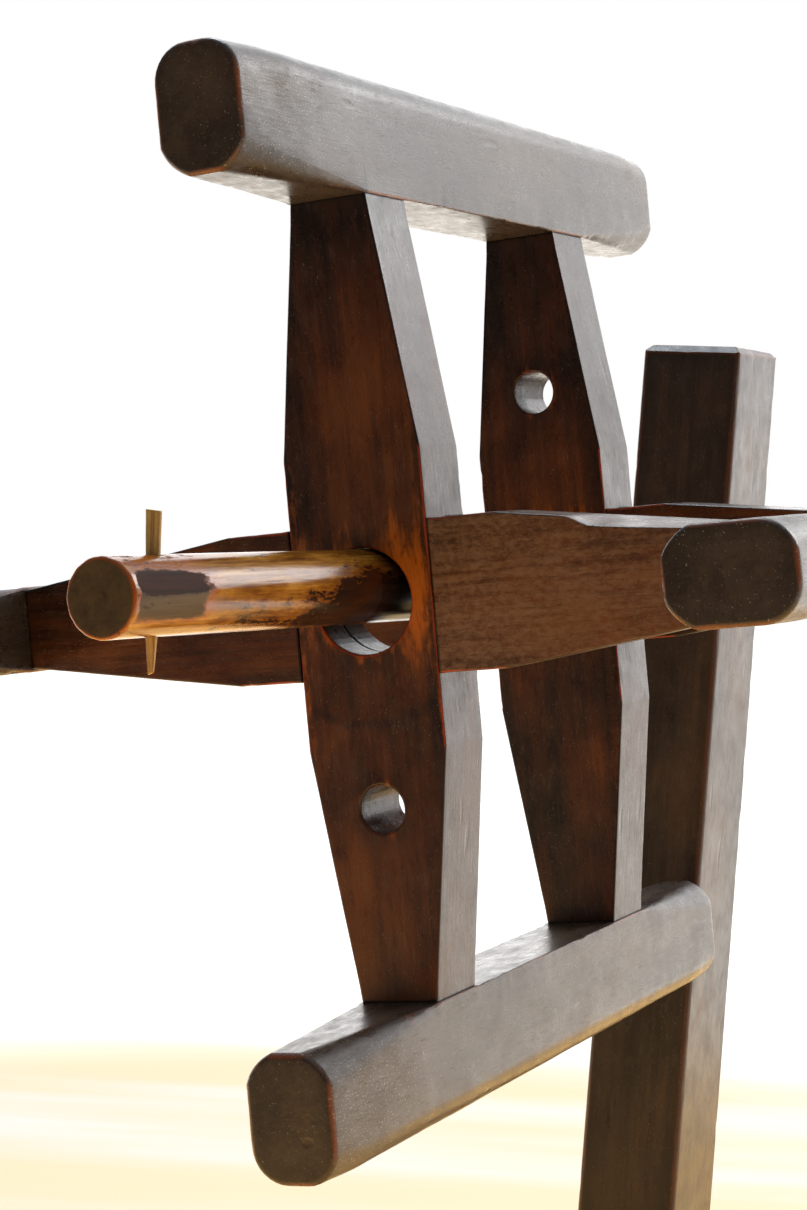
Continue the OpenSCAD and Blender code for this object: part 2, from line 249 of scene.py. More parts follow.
def piece(name, bm, place, body, material, gap, grain=(0, 1, 2), seed=0, extra=None):
    """Puts the mesh in its place under its body's empty and hides the CAD part; grain[2] is the axis along the
    wood.
    """
    points = points_of(bm)
    mesh = bpy.data.meshes.new(name)
    bm.to_mesh(mesh)
    bm.free()
    fields = {"wear": gap, "seam": np.full(len(points), FAR)}
    fields.update({key: np.zeros(len(points)) for key in ("glow", "tone", "side", "dust", "matt_and_glints")})
    fields.update(extra or {})
    # Each piece is cut from another place in the wood
    offset = np.array([0.31, 0.17, 0.53]) * (seed + 1) % 1.9
    along_grain = (points[:, list(grain)] + offset).astype(np.float32)
    vectors = mesh.attributes.new("grain", "FLOAT_VECTOR", "POINT")
    vectors.data.foreach_set("vector", along_grain.ravel())
    for key, values in fields.items():
        field = mesh.attributes.new(key, "FLOAT", "POINT")
        field.data.foreach_set("value", values.astype(np.float32))
    mesh.transform(place)
    mesh.polygons.foreach_set("use_smooth", [True] * len(mesh.polygons))
    mesh.materials.append(material)
    obj = bpy.data.objects.new(name + "_look", mesh)
    bpy.context.scene.collection.objects.link(obj)
    even = obj.modifiers.new("even", "WEIGHTED_NORMAL")
    even.weight = 100
    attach(obj, body)
    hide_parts(name)
    return obj


def edge_points(edges):
    return [(np.array(e.verts[0].co), np.array(e.verts[1].co)) for e in edges]


# ---- materials ----


class Shader:
    """A material, and short ways to add nodes to it. A value may be a number or a socket."""

    def __init__(self, name, **fixed):
        self.material = bpy.data.materials.new(name)
        self.material["slot"] = name
        self.material.use_nodes = True
        self.tree = self.material.node_tree
        self.bsdf = self.tree.nodes["Principled BSDF"]
        for key, value in fixed.items():
            self.bsdf.inputs[key.replace("_", " ")].default_value = value

    def put(self, socket, value):
        if isinstance(value, bpy.types.NodeSocket):
            self.tree.links.new(value, socket)
        else:
            socket.default_value = value

    def add(self, kind, inputs, out=0, **settings):
        node = self.tree.nodes.new("ShaderNode" + kind)
        for key, value in settings.items():
            setattr(node, key, value)
        for key, value in inputs.items():
            self.put(node.inputs[key], value)
        return node.outputs[out]

    def attribute(self, name, out="Fac"):
        return self.add("Attribute", {}, out, attribute_name=name)

    def math(self, operation, a, b=0.0, clamp=False):
        return self.add("Math", {0: a, 1: b}, operation=operation, use_clamp=clamp)

    def total(self, *terms):
        """The sum of some terms, each a value or a pair of a value and its weight."""
        values = [self.math("MULTIPLY", *t) if isinstance(t, tuple) else t for t in terms]
        result = values[0]
        for value in values[1:]:
            result = self.math("ADD", result, value)
        return result

    def swing(self, value, by):
        """Takes a noise that lies round one half, and makes it swing round zero."""
        return self.math("MULTIPLY", self.math("SUBTRACT", value, 0.5), by)

    def stretch(self, vector, by):
        return self.add("VectorMath", {0: vector, 1: by}, operation="MULTIPLY")

    def noise(self, vector, scale, detail=2.0, roughness=0.5, distortion=0.0):
        return self.add("TexNoise", {"Vector": vector, "Scale": scale, "Detail": detail,
                                     "Roughness": roughness, "Distortion": distortion})

    def remap(self, value, low, high, to_low=0.0, to_high=1.0):
        return self.add("MapRange", {"Value": value, "From Min": low, "From Max": high,
                                     "To Min": to_low, "To Max": to_high},
                        interpolation_type="SMOOTHSTEP")

    def mix(self, factor, a, b):
        return self.add("Mix", {0: factor, 6: a, 7: b}, 2, data_type="RGBA")

    def ramp(self, factor, stops):
        node = self.tree.nodes.new("ShaderNodeValToRGB")
        self.put(node.inputs[0], factor)
        elements = node.color_ramp.elements
        while len(elements) < len(stops):
            elements.new(0.5)
        for element, (at, colour) in zip(elements, stops):
            element.position = at
            element.color = (*colour, 1)
        return node.outputs[0]

    def bump(self, height, distance, strength=1.0, normal=None):
        inputs = {"Height": height, "Distance": distance, "Strength": strength}
        if normal is not None:
            inputs["Normal"] = normal
        return self.add("Bump", inputs)

    def finish(self, colour, roughness, normal):
        self.put(self.bsdf.inputs["Base Color"], colour)
        self.put(self.bsdf.inputs["Roughness"], roughness)
        self.put(self.bsdf.inputs["Normal"], normal)
        return self.material


def stained_wood(name, dark, brown, warm, worn, gloss, glow_colour=(0.30, 0.12, 0.03), spec=0.5,
                 specks=0.25, batter=0.25):
    """Dark stained hardwood: streaks, pores, warm rubbed edges, rubbed patches, marks of use."""
    s = Shader(name, Specular_IOR_Level=spec)
    grain = s.attribute("grain", "Vector")
    wear = s.attribute("wear")
    glow = s.attribute("glow")

    # Streaks and fibres run along the third axis
    broad = s.noise(s.stretch(grain, (1, 1, 0.45)), 22, 3, 0.55, 0.4)
    streak = s.noise(s.stretch(grain, (1, 1, 0.04)), 190, 4, 0.62, 0.25)
    fibre = s.noise(s.stretch(grain, (1, 1, 0.03)), 1100, 3, 0.65)
    pores = s.remap(s.noise(s.stretch(grain, (1, 1, 0.05)), 2300, 1, 0.5), 0.60, 0.72)
    cloud = s.noise(grain, 60, 4, 0.6)
    grit = s.noise(grain, 1300, 2, 0.6)

    tone = s.total(broad, (streak, 0.45), (fibre, 0.14), (cloud, 0.15), s.attribute("tone"))
    tone = s.remap(tone, 0.62, 1.20)
    colour = s.ramp(tone, [(0.0, dark), (0.5, brown), (1.0, warm)])
    # The stain is darkest towards the edges, except where hands have rubbed it through
    toward_edge = s.remap(wear, 1.0 * MM, 11 * MM, 0.5, 0.0)
    colour = s.mix(toward_edge, colour, (*dark, 1))
    scuff = s.noise(s.stretch(grain, (1, 1, 0.35)), 260, 5, 0.7, 0.4)
    ragged = s.total(glow, s.swing(streak, 2.1), s.swing(scuff, 1.8))
    rubbed = s.math("MULTIPLY", s.remap(ragged, 0.15, 1.05), s.remap(glow, 0.0, 0.25))
    colour = s.mix(rubbed, colour, (*glow_colour, 1))
    dust = (*[c * 0.7 + 0.045 for c in brown], 1)
    colour = s.mix(s.remap(scuff, 0.52, 0.74, 0, 0.35), colour, dust)
    weave = s.noise(s.stretch(grain, (1, 1, 0.6)), 480, 5, 0.8, 0.2)
    weave = s.total((weave, 0.6), (streak, 0.4))
    grey = s.math("MULTIPLY", s.attribute("dust"), s.remap(weave, 0.40, 0.60, 0.15, 0.9))
    colour = s.mix(grey, colour, (0.24, 0.132, 0.078, 1))
    colour = s.mix(s.remap(scuff, 0.50, 0.28, 0, 0.30), colour, (*dark, 1))
    # The arms' side faces and bore walls are made darker: painted shade
    painted_side_shade = s.math("MULTIPLY", s.attribute("side"), 0.75)
    colour = s.mix(painted_side_shade, colour, (*[c * 1.3 for c in dark], 1))
    near_edge = s.total(wear, (cloud, 2.0 * MM))
    edge = s.remap(near_edge, 1.2 * MM, 2.5 * MM, 0.95, 0.0)
    edge = s.math("MULTIPLY", edge, s.remap(s.attribute("side"), 0.3, 1.0, 1.0, 0.25))
    colour = s.mix(edge, colour, (*worn, 1))
    colour = s.mix(s.math("MULTIPLY", pores, 0.35), colour, (*[c * 0.35 for c in dark], 1))
    # Light flecks; where the matt field makes them denser, near the bars' front ends, they are painted glints
    speck = s.noise(grain, 1500, 0)
    speck = s.remap(s.total(speck, (s.attribute("matt_and_glints"), 0.07)), 0.77, 0.82)
    colour = s.mix(s.math("MULTIPLY", speck, specks), colour, (0.42, 0.36, 0.30, 1))
    # Dirt in the joints
    in_seam = s.remap(s.attribute("seam"), 0.25 * MM, 1.3 * MM, 0.92, 0.0)
    colour = s.mix(in_seam, colour, (0.004, 0.003, 0.002, 1))

    roughness = s.total(gloss, s.swing(cloud, 0.30), s.swing(scuff, 0.35),
                        (s.attribute("matt_and_glints"), 0.16))
    roughness = s.math("ADD", roughness, s.math("MULTIPLY", pores, 0.12), clamp=True)
    # Fine grain, then scratches, then shallow bruises a finger would feel
    height = s.total((fibre, 0.6), (grit, 0.35), (pores, -0.3))
    normal = s.bump(height, 0.07 * MM)
    lines = s.noise(s.stretch(grain, (9, 9, 1.2)), 60, 1, 0.5, 0.5)
    scratch = s.remap(s.math("ABSOLUTE", s.math("SUBTRACT", lines, 0.5)), 0.0, 0.010, 1, 0)
    scratch = s.math("MULTIPLY", scratch, s.remap(cloud, 0.53, 0.60))
    bruise = s.remap(s.noise(s.stretch(grain, (1, 1, 0.22)), 130, 1, 0.5), 0.68, 0.84)
    marks = s.total((scratch, -0.25), (bruise, -1.0), (cloud, 0.8))
    normal = s.bump(marks, 0.25 * MM, 0.8, normal)
    # Battered ends and edges
    battered = s.noise(grain, 300, 3, 0.6)
    normal = s.bump(battered, 0.6 * MM, s.remap(near_edge, 1.5 * MM, 5.0 * MM, batter, 0.0), normal)
    combed = s.noise(s.stretch(grain, (1, 1, 0.02)), 420, 3, 0.6)
    lined = s.math("MAXIMUM", s.attribute("matt_and_glints"), s.attribute("side"))
    normal = s.bump(combed, 0.10 * MM, lined, normal)
    return s.finish(colour, roughness, normal)


ARM_WOOD = stained_wood(
    "arm_wood", dark=(0.014, 0.0062, 0.0036), brown=(0.070, 0.0205, 0.0066),
    warm=(0.170, 0.052, 0.011), worn=(0.36, 0.052, 0.016), glow_colour=(0.46, 0.115, 0.005),
    gloss=0.31, spec=0.38,
)
BAR_WOOD = stained_wood(
    "bar_wood", dark=(0.032, 0.022, 0.017), brown=(0.060, 0.041, 0.030),
    warm=(0.084, 0.057, 0.037), worn=(0.20, 0.060, 0.024), gloss=0.30, spec=0.38, specks=0.6,
    batter=0.35,
)
STAND_WOOD = stained_wood(
    "stand_wood", dark=(0.024, 0.018, 0.017), brown=(0.047, 0.033, 0.028),
    warm=(0.080, 0.048, 0.031), worn=(0.090, 0.034, 0.018), gloss=0.36, spec=0.32,
)
WEDGE_WOOD = stained_wood(
    "wedge_wood", dark=(0.045, 0.022, 0.011), brown=(0.09, 0.045, 0.020),
    warm=(0.14, 0.07, 0.03), worn=(0.25, 0.12, 0.05), gloss=0.5,
)


def axle_wood(spec):
    """Golden wood polished by handling, with the old dark stain left in patches."""
    s = Shader("axle_wood", Specular_IOR_Level=spec)
    grain = s.attribute("grain", "Vector")
    wear = s.attribute("wear")
    streak = s.noise(s.stretch(grain, (1, 1, 0.05)), 230, 5, 0.68, 0.5)
    fibre = s.noise(s.stretch(grain, (1, 1, 0.04)), 1200, 3, 0.65)
    cloud = s.noise(s.stretch(grain, (1, 1, 0.30)), 75, 5, 0.65, 0.8)
    tone = s.remap(s.total((streak, 0.75), (cloud, 0.55), (fibre, 0.22)), 0.52, 0.98)
    colour = s.ramp(tone, [(0.0, (0.050, 0.014, 0.002)), (0.35, (0.165, 0.054, 0.005)),
                           (0.7, (0.305, 0.125, 0.013)), (1.0, (0.48, 0.240, 0.042))])
    # Patches end raggedly, more along the grain than across it
    ragged = s.total(s.swing(cloud, 1.3), s.swing(streak, 0.9))
    jag = s.noise(s.stretch(grain, (1, 1, 0.30)), 190, 6, 0.75)
    torn = s.total((ragged, 0.45), s.swing(jag, 3.6))
    # The stain field also holds painted shade: the band along the lower side and the axle inside the bore
    stain_and_shade = s.math("ADD", s.attribute("stain_and_shade"), torn)
    stain_and_shade = s.math("MULTIPLY", stain_and_shade, s.remap(s.attribute("stain_and_shade"), 0.0, 0.2))
    colour = s.mix(s.remap(stain_and_shade, 0.15, 0.48, 0, 0.8), colour, (0.13, 0.037, 0.005, 1))
    # The darkest stain colour, also used as painted shade on the axle inside the bore
    stain_and_shade_colour = s.ramp(tone, [(0.0, (0.006, 0.004, 0.003)), (1.0, (0.036, 0.011, 0.005))])
    colour = s.mix(s.remap(stain_and_shade, 0.48, 0.56), colour, stain_and_shade_colour)
    # Old lacquer: thin and olive below, thick and dark above, with a worn orange border
    chipped = s.math("MULTIPLY", torn, 0.45)
    thin = s.math("ADD", s.attribute("film"), chipped)
    thick = s.math("ADD", s.attribute("lacquer"), chipped)
    most = s.math("MAXIMUM", thin, thick)
    present = s.math("MAXIMUM", s.attribute("film"), s.attribute("lacquer"))
    border = s.math("MULTIPLY", s.remap(most, 0.04, 0.34, 0, 0.8), s.remap(present, 0.0, 0.15))
    colour = s.mix(border, colour, (0.27, 0.065, 0.007, 1))
    olive = s.ramp(tone, [(0.0, (0.034, 0.026, 0.012)), (1.0, (0.085, 0.062, 0.028))])
    is_olive = s.remap(thin, 0.38, 0.66, 0, 0.92)
    colour = s.mix(is_olive, colour, olive)
    dark = s.ramp(tone, [(0.0, (0.006, 0.004, 0.005)), (1.0, (0.040, 0.016, 0.012))])
    is_dark = s.remap(thick, 0.38, 0.64, 0, 0.95)
    colour = s.mix(is_dark, colour, dark)
    edge = s.remap(s.total(wear, (cloud, 1.6 * MM)), 1.2 * MM, 2.8 * MM, 0.95, 0)
    colour = s.mix(edge, colour, (0.38, 0.085, 0.012, 1))
    speck = s.remap(s.noise(s.stretch(grain, (1, 1, 0.4)), 300, 2), 0.69, 0.74)
    colour = s.mix(s.math("MULTIPLY", speck, 0.75), colour, (0.03, 0.013, 0.006, 1))
    # Painted shadow where the axle goes into the bore
    shade = s.math("MULTIPLY", s.attribute("shade"), 0.85)
    colour = s.mix(shade, colour, (0.005, 0.003, 0.002, 1))
    dull = s.math("MAXIMUM", s.math("MULTIPLY", is_dark, 0.75), s.math("MULTIPLY", is_olive, 0.60))
    roughness = s.math("ADD", s.total(0.22, s.swing(cloud, 0.25)), dull, clamp=True)
    normal = s.bump(s.total((fibre, 0.6), (speck, -0.5)), 0.07 * MM)
    normal = s.bump(s.math("ADD", cloud, streak), 0.22 * MM, 0.7, normal)
    return s.finish(colour, roughness, normal)


def bamboo():
    """Bare split bamboo: straight fibre bundles with brown lines between them."""
    s = Shader("bamboo")
    grain = s.attribute("grain", "Vector")
    wear = s.attribute("wear")
    bundle = s.noise(s.stretch(grain, (1, 1, 0.02)), 1100, 2, 0.5)
    hair = s.noise(s.stretch(grain, (1, 1, 0.015)), 3600, 2, 0.6)
    cloud = s.noise(s.stretch(grain, (1, 1, 0.5)), 160, 3, 0.6)
    colour = s.ramp(bundle, [(0.3, (0.36, 0.180, 0.040)), (0.5, (0.70, 0.430, 0.120)),
                             (0.75, (0.86, 0.60, 0.23))])
    line = s.math("MULTIPLY", s.remap(hair, 0.55, 0.7), 0.55)
    colour = s.mix(line, colour, (0.20, 0.10, 0.035, 1))
    colour = s.mix(s.remap(cloud, 0.35, 0.75, 0, 0.35), colour, (0.30, 0.16, 0.05, 1))
    edge = s.remap(wear, 0.1 * MM, 0.7 * MM, 1, 0)
    colour = s.mix(s.math("MULTIPLY", edge, 0.55), colour, (0.16, 0.07, 0.02, 1))
    roughness = s.remap(hair, 0.3, 0.8, 0.38, 0.6)
    height = s.total((bundle, 0.7), (hair, 0.4))
    return s.finish(colour, roughness, s.bump(height, 0.12 * MM))


AXLE_WOOD = axle_wood(spec=0.38)
SHADED_AXLE_WOOD = axle_wood(spec=0.04)  # a copy with almost no reflection: painted shade on the axle from just before the reel to the post
BAMBOO = bamboo()

# ---- arms ----

RING_R = 52 * MM
CUT_STARTS, CUT_ENDS, CUT_DEPTH = 92 * MM, 104 * MM, 3.5 * MM


def arm_half_width(z):
    """Half the width of an arm at a distance from the hub's centre."""
    return np.interp(np.abs(z), [ARM_HUB_LEN / 2, ARM_LEN], [ARM_HUB_W / 2, ARM_TIP_W / 2])


def arm(node, place, seed, whole_in_front, hole_z=None, step=None, tone=(0.0, 0.0, 0.0),
        dust=0.0, rubbed=0.0, dark_ring=False):
    """One arm, from its CAD node: Z along it, its front face on y = 0.

    tone is how much lighter or darker it is at the -Z end, at the hub and at the +Z end.
    """
    bm = cad_copy(node, place)
    lap = ARM_T / 2

    def is_joint(p):
        return abs(p.z) > ARM_LEN - 0.4 * MM

    def in_notch(p):
        at_lap = abs(p.y - lap) < 0.2 * MM or (p.y > lap) == whole_in_front
        return at_lap and abs(p.z) < ARM_HUB_W / 2 + 0.3 * MM

    def width(p):
        if is_joint(p):
            return 0.2 * MM
        if in_notch(p):
            return (1.1 if math.hypot(p.x, p.z) < BORE_R + 0.5 * MM else 0.5) * MM
        return 1.1 * MM

    worn, seams = [], []
    for e in sharp_edges(bm):
        a, b = e.verts[0].co, e.verts[1].co
        hidden = is_joint(a) or is_joint(b) or in_notch((a + b) / 2)
        (seams if hidden else worn).append((np.array(a), np.array(b)))
    bm = round_edges(bm, width)
    slice_up(bm, (3 * MM, 3.2 * MM, 3 * MM))

    def keep(p):
        """Nothing is worked away at the tenons, in the bore and where the arms are halved."""
        from_hub = np.hypot(p[:, 0], p[:, 2])
        free = smoothstep(ARM_LEN - 0.5 * MM, ARM_LEN - 8 * MM, np.abs(p[:, 2]))
        free *= smoothstep(BORE_R + 0.3 * MM, BORE_R + 7 * MM, from_hub)
        if hole_z is not None:
            from_hole = np.hypot(p[:, 0], p[:, 2] - hole_z)
            free *= smoothstep(HOLE_R + 0.3 * MM, HOLE_R + 5 * MM, from_hole)
        back = p[:, 1] > lap - MM if whole_in_front else p[:, 1] < lap + MM
        free[back & (np.abs(p[:, 2]) < ARM_HUB_W / 2 + 2 * MM)] = 0
        return free

    gap = dress(bm, keep, worn, seed)
    if step:
        step(bm)
    points = points_of(bm)
    from_hub = np.hypot(points[:, 0], points[:, 2])
    z = points[:, 2]
    below = -z / np.maximum(from_hub, MM)
    glow = np.zeros(len(points))
    seam = edge_distance(points, seams)
    if whole_in_front:
        # The hub is rubbed most beside the bore, towards +X
        beside = points[:, 0] / np.maximum(from_hub, MM)
        facing = 0.30 + 0.70 * smoothstep(-0.2, 0.95, beside)
        facing *= 1 - 0.6 * smoothstep(0.1, 0.9, below)
        glow = facing * (1 - smoothstep(BORE_R, BORE_R + 26 * MM, from_hub))
        glow *= smoothstep(BORE_R - 1.6 * MM, BORE_R, from_hub)
    if hole_z is not None:
        from_hole = np.hypot(points[:, 0], points[:, 2] - hole_z)
        rub = 0.22 * (1 - smoothstep(HOLE_R, HOLE_R + 6 * MM, from_hole))
        glow = np.maximum(glow, rub * smoothstep(HOLE_R - MM, HOLE_R, from_hole))
        glow *= smoothstep(-0.05 * MM, 2 * MM, ARM_T - points[:, 1]) * 0.8 + 0.2
        gap = gap + 0.8 * MM * (1 - smoothstep(HOLE_R + MM, HOLE_R + 3 * MM, from_hole))
    low_end, high_end = (smoothstep(70 * MM, 240 * MM, k * z) for k in (-1, 1))
    # Lighter or darker towards each end; the darker top end of the upright arms is painted shade
    tone_and_shade = tone[1] + (tone[0] - tone[1]) * low_end + (tone[2] - tone[1]) * high_end
    if dark_ring:
        # A thin dark line below the bore
        ring = np.exp(-((from_hub - RING_R) / (1.8 * MM)) ** 2)
        tone_and_shade = tone_and_shade - 0.14 * ring * smoothstep(0.2, 0.8, below)
    bm.normal_update()
    # Side faces and the bore's wall; the material paints them darker, as shade
    side = smoothstep(0.55, 0.9, np.abs([v.normal.x for v in bm.verts]))
    side = np.maximum(side, from_hub < BORE_R + 0.2 * MM)
    hand = rubbed * (1 - smoothstep(MM, 7 * MM, gap))
    hand = hand * (1 - smoothstep(20 * MM, 100 * MM, np.abs(z)))
    glow = np.maximum(glow, hand * (1 - side))
    grey = dust * smoothstep(-40 * MM, 30 * MM, z) * (1 - 0.25 * smoothstep(60 * MM, 150 * MM, z))
    extra = {"glow": glow, "seam": seam, "side": side, "tone": tone_and_shade, "dust": grey}
    piece(node, bm, place, "reel", ARM_WOOD, gap, seed=seed, extra=extra)


def carved_step(bm):
    """The knife's cut in the front top edge of the arm: from there on the edge is lower."""
    for v in bm.verts:
        z = v.co.z
        if CUT_STARTS < z < ARM_LEN - 0.5 * MM:
            half = float(arm_half_width(z))
            side = smoothstep(-half + 9 * MM, -half, v.co.x)
            front = 1 - smoothstep(0, ARM_T, v.co.y)
            into = smoothstep(CUT_STARTS, CUT_ENDS, z)
            into *= 1 - 0.45 * smoothstep(CUT_ENDS, ARM_LEN, z)
            v.co.x += float(CUT_DEPTH * side * front * into)


# The upright arms darken towards their top (+Z) end: painted shade, where less floor light reaches under the top
# bar
arm("front_upright_arm", REEL, 3, True, hole_z=-FRONT_HOLE_AT, tone=(0.10, 0.09, -0.52),
    rubbed=0.5, dark_ring=True)
arm("front_cross_arm", REEL @ ACROSS, 5, False, step=carved_step, tone=(-0.20, 0.04, 0.34),
    dust=1.0)
arm("rear_upright_arm", REAR_REEL, 8, True, hole_z=REAR_HOLE_AT, tone=(0.02, -0.06, -0.36))
arm("rear_cross_arm", REAR_REEL @ ACROSS, 11, False, tone=(-0.20, 0.0, 0.05))

# ---- bars ----

BAR_RINGS = 148
ARC_POINTS = 9  # on each corner of a bar's section, and on each side between them
BAR_RIM = 2.6 * MM
TENON_PLAY = 0.12 * MM
BENDS = np.radians(np.linspace(0, 90, 5))  # steps round the edge of a bar's or the axle's end


def bar_section(inset, inner_cut, outer_r):
    """Closed outline of a bar as (x, depth): the inner face at depth 0, the outer edges round."""
    half, depth = BAR_W / 2 - inset, BAR_D - inset
    inner = max(inner_cut - inset, 0.5 * MM)
    outer = max(outer_r - inset, 0.5 * MM)
    corners = [(half, inset, inner, -90), (half, depth, outer, 0),
               (-half, depth, outer, 90), (-half, inset, inner, 180)]
    points = []
    for x, z, r, first in corners:
        centre = np.array([x - math.copysign(r, x), z + (r if z == inset else -r)])
        turn = np.radians(first + np.linspace(0, 90, ARC_POINTS))
        arc = centre + r * np.stack([np.cos(turn), np.sin(turn)], 1)
        if z == inset:  # a knife leaves these two flatter than round
            chord = arc[0] + (arc[-1] - arc[0]) * np.linspace(0, 1, ARC_POINTS)[:, None]
            arc = arc + 0.45 * (chord - arc)
        if points:
            points.append(np.linspace(points[-1][-1], arc[0], ARC_POINTS)[1:-1])
        points.append(arc)
    points.append(np.linspace(points[-1][-1], points[0][0], ARC_POINTS)[1:-1])
    return np.concatenate(points)


def inner_cut_at(y):
    """Size of the cut on a bar's inner edges: it grows from the cross out to the bar's end."""
    beyond = max(-y, y - CROSS_SPACING - ARM_T, 0) / BAR_OVERHANG
    return (1.0 + 11.5 * min(beyond, 1) ** 0.9) * MM


def outer_radius_at(y):
    """The outer edges are rounder at the very ends of a bar."""
    from_end = min(y + BAR_OVERHANG, BAR_LEN - BAR_OVERHANG - y)
    return BAR_EDGE_R + 3.2 * MM * float(1 - smoothstep(0, 30 * MM, from_end))


def loft(rings):
    """Skin over closed rings of points, each end drawn together to a point."""
    bm = bmesh.new()
    rows = [[bm.verts.new(p) for p in ring] for ring in rings]
    count = len(rows[0])
    for a, b in zip(rows, rows[1:]):
        for i in range(count):
            j = (i + 1) % count
            bm.faces.new((a[i], a[j], b[j], b[i]))
    for row, flip in ((rows[0], True), (rows[-1], False)):
        centre = bm.verts.new(sum((v.co for v in row), Vector()) / count)
        for i in range(count):
            j = (i + 1) % count
            bm.faces.new((row[j], row[i], centre) if flip else (row[i], row[j], centre))
    bmesh.ops.recalc_face_normals(bm, faces=bm.faces)
    return bm


def cut_box(bm, low, high):
    """Takes a box out of the mesh."""
    mesh = bpy.data.meshes.new("cutter")
    box = bmesh.new()
    bmesh.ops.create_cube(box, size=1)
    for v in box.verts:
        v.co = Vector([(a + b) / 2 + c * (b - a) for a, b, c in zip(low, high, v.co)])
    box.to_mesh(mesh)
    box.free()
    cutter = bpy.data.objects.new("cutter", mesh)
    bpy.context.scene.collection.objects.link(cutter)
    bm = as_modified(bm, "BOOLEAN", operation="DIFFERENCE", solver="EXACT", object=cutter)
    bpy.data.objects.remove(cutter)
    bpy.data.meshes.remove(mesh)
    return bm


def bar(node, place, seed, cracked=False):
    """One bar: Y along it, Z outwards."""
    front, back = -BAR_OVERHANG, BAR_LEN - BAR_OVERHANG
    rim = BAR_RIM

    def ring(y, inset, shrink=1.0):
        outline = bar_section(inset, inner_cut_at(y), outer_radius_at(y))
        middle = outline.mean(0)
        outline = middle + (outline - middle) * shrink
        return [(x, y, ARM_LEN + d) for x, d in outline]

    shrinks = (0.12, 0.3, 0.5, 0.7, 0.88)
    start = [ring(front, rim, k) for k in shrinks]
    start += [ring(front + rim * (1 - math.cos(t)), rim * (1 - math.sin(t))) for t in BENDS]
    middle = [ring(y, 0) for y in np.linspace(front + rim, back - rim, BAR_RINGS)[1:-1]]
    end = [ring(back - rim * (1 - math.cos(t)), rim * (1 - math.sin(t))) for t in BENDS[::-1]]
    end += [ring(back, rim, k) for k in shrinks[::-1]]
    bm = loft(start + middle + end)

    cad = cad_copy(node, place)
    worn = edge_points(sharp_edges(cad))
    cad.free()
    # The edges round the arms' tenons are hidden
    clear = 50 * MM
    worn = [(a, b) for a, b in worn if abs((a + b)[0]) / 2 > TENON_W / 2 + MM
            or min(a[1], b[1]) < -clear or max(a[1], b[1]) > CROSS_SPACING + ARM_T + clear]

    def keep(p):
        """The inner face stays flat where it meets the arms."""
        free = np.ones(len(p))
        for y in (0, CROSS_SPACING):
            near = np.abs(p[:, 1] - y - ARM_T / 2)
            free[(near < ARM_T / 2 + 2 * MM) & (p[:, 2] < ARM_LEN + 2 * MM)] = 0
        return free

    dress(bm, keep, worn, seed, wave=0.45 * MM, nick=0.7 * MM, wave_size=30 * MM)
    half_w, inset = TENON_W / 2 + TENON_PLAY, (ARM_T - TENON_T) / 2 - TENON_PLAY
    for y in (0, CROSS_SPACING):
        bm = cut_box(bm, (-half_w, y + inset, ARM_LEN - 10 * MM),
                     (half_w, y + ARM_T - inset, REEL_R + 10 * MM))
    points = points_of(bm)
    from_end = np.minimum(points[:, 1] - front, back - points[:, 1])
    gap = np.maximum(edge_distance(points, worn) - MM * (from_end < 4 * MM), 0)
    bm.normal_update()
    side = smoothstep(0.6, 0.95, np.abs([v.normal.x for v in bm.verts]))
    # Near the front end the side faces are rougher and get denser light flecks: painted glints
    matt_and_glints = side * (1 - smoothstep(25 * MM, 120 * MM, points[:, 1] - front))
    extra = {"matt_and_glints": matt_and_glints}
    if cracked:
        # A short crack runs up the +X side from the front arm's corner
        y = points[np.argmin(np.abs(points[:, 1] + 1.5 * MM)), 1]
        above = np.maximum(points[:, 2] - ARM_LEN - 10 * MM, 0)
        beside = np.maximum(BAR_W / 2 - 1.5 * MM - points[:, 0], 0)
        away = np.sqrt((points[:, 1] - y) ** 2 + above ** 2 + beside ** 2)
        extra["seam"] = np.maximum(away - 0.5 * MM, 0)
    piece(node, bm, place, "reel", BAR_WOOD, gap, grain=(0, 2, 1), seed=seed, extra=extra)


for number, name in enumerate(BARS):
    bar(name, QUARTERS[number], 20 + 7 * number, cracked=name == "top_bar")

# ---- wedges, post, base ----


def carved(node, place, body, material, seed, grain=(0, 1, 2), round_by=0.5 * MM, step=6 * MM,
           wave=0.3 * MM, nick=0.5 * MM, keep=lambda p: np.ones(len(p)), knocked_from=None):
    """A piece that keeps its CAD shape, its edges eased and its faces slightly uneven."""
    bm = cad_copy(node, place)
    low, high = points_of(bm).min(0), points_of(bm).max(0)
    worn = edge_points(sharp_edges(bm))
    bm = round_edges(bm, lambda p: round_by(p) if callable(round_by) else round_by)
    slice_up(bm, (step, step, step))
    gap = dress(bm, keep, worn, seed, wave, nick)
    if knocked_from is not None:  # the corners above are knocked in a little
        for v in bm.verts:
            inset = 0.5 * MM * float(smoothstep(knocked_from, knocked_from + 8 * MM, v.co.z))
            v.co.xy = np.clip(v.co.xy, low[:2] + inset, high[:2] - inset)
    piece(node, bm, place, body, material, gap, grain=grain, seed=seed)


for number, name in enumerate(BARS):
    carved(name + "_wedges", QUARTERS[number], "reel", WEDGE_WOOD, 50 + number,
           round_by=0.1 * MM, step=3 * MM, wave=0.05 * MM, nick=0.05 * MM)


def post_fit(p):
    """The post stays true round the axle and in its tenon."""
    through = POST.inverted() @ AXLE @ Vector((0, POST_OFFSET.y + POST_D / 2, 0))
    from_axle = np.hypot(p[:, 0] - through.x, p[:, 2] - through.z)
    hole = AXLE_TAIL_R + 2 * MM
    return smoothstep(hole, hole + 7 * MM, from_axle) * (p[:, 2] > POST_TENON_BELOW)


